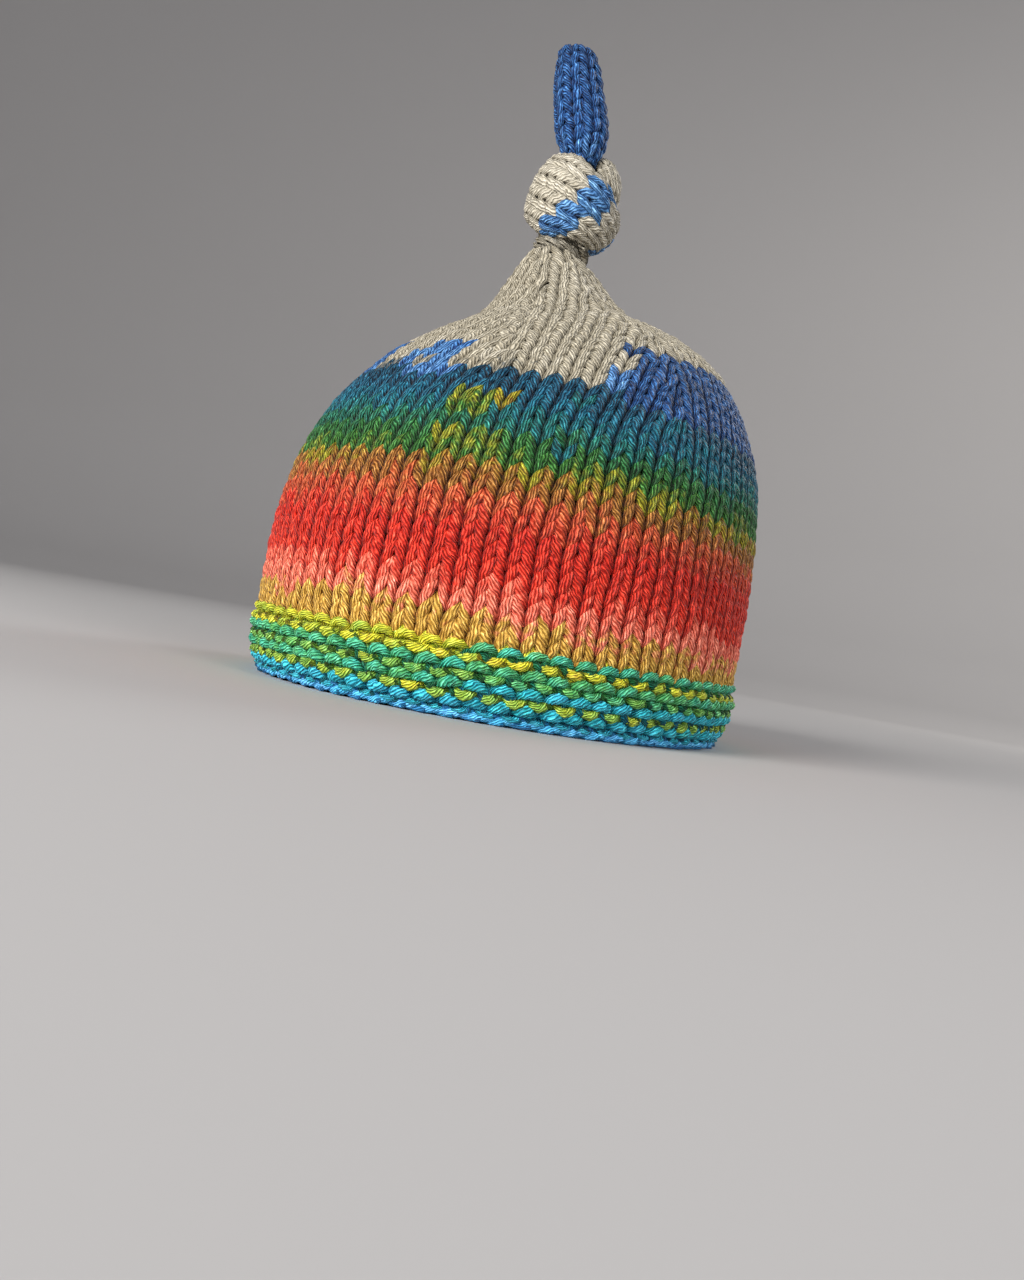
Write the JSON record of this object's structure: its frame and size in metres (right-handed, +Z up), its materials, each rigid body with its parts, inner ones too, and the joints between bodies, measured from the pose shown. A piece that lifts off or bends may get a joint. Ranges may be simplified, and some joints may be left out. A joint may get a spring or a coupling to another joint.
{
  "type": "top knot beanie",
  "caption": "Hand-knitted beanie with a garter brim and a striped crown that is drawn up into a narrow tube and tied in an overhand knot.",
  "frame": {"origin": "middle of the rim, on the surface that the hat rests on", "axes": "+Z up towards the knot, -Y out of the wearer's forehead, +X to the right as the forehead is looked at"},
  "size_m": [0.1764, 0.2036, 0.2557],
  "materials": {
    "sky_blue_yarn": "matt plied yarn",
    "turquoise_yarn": "matt plied yarn, garter stitch",
    "red_yarn": "matt plied yarn, stockinette, in stripes of many colours",
    "cream_yarn": "matt plied yarn, stockinette",
    "pale_cream_yarn": "matt plied yarn, stockinette",
    "blue_yarn": "matt plied yarn, stockinette"
  },
  "bodies": {
    "root": {"cast_on_edge": "sky_blue_yarn", "garter_brim": "turquoise_yarn", "crown": "red_yarn", "peak": "cream_yarn", "knot": "pale_cream_yarn", "tail": "blue_yarn"}
  },
  "joints": []
}
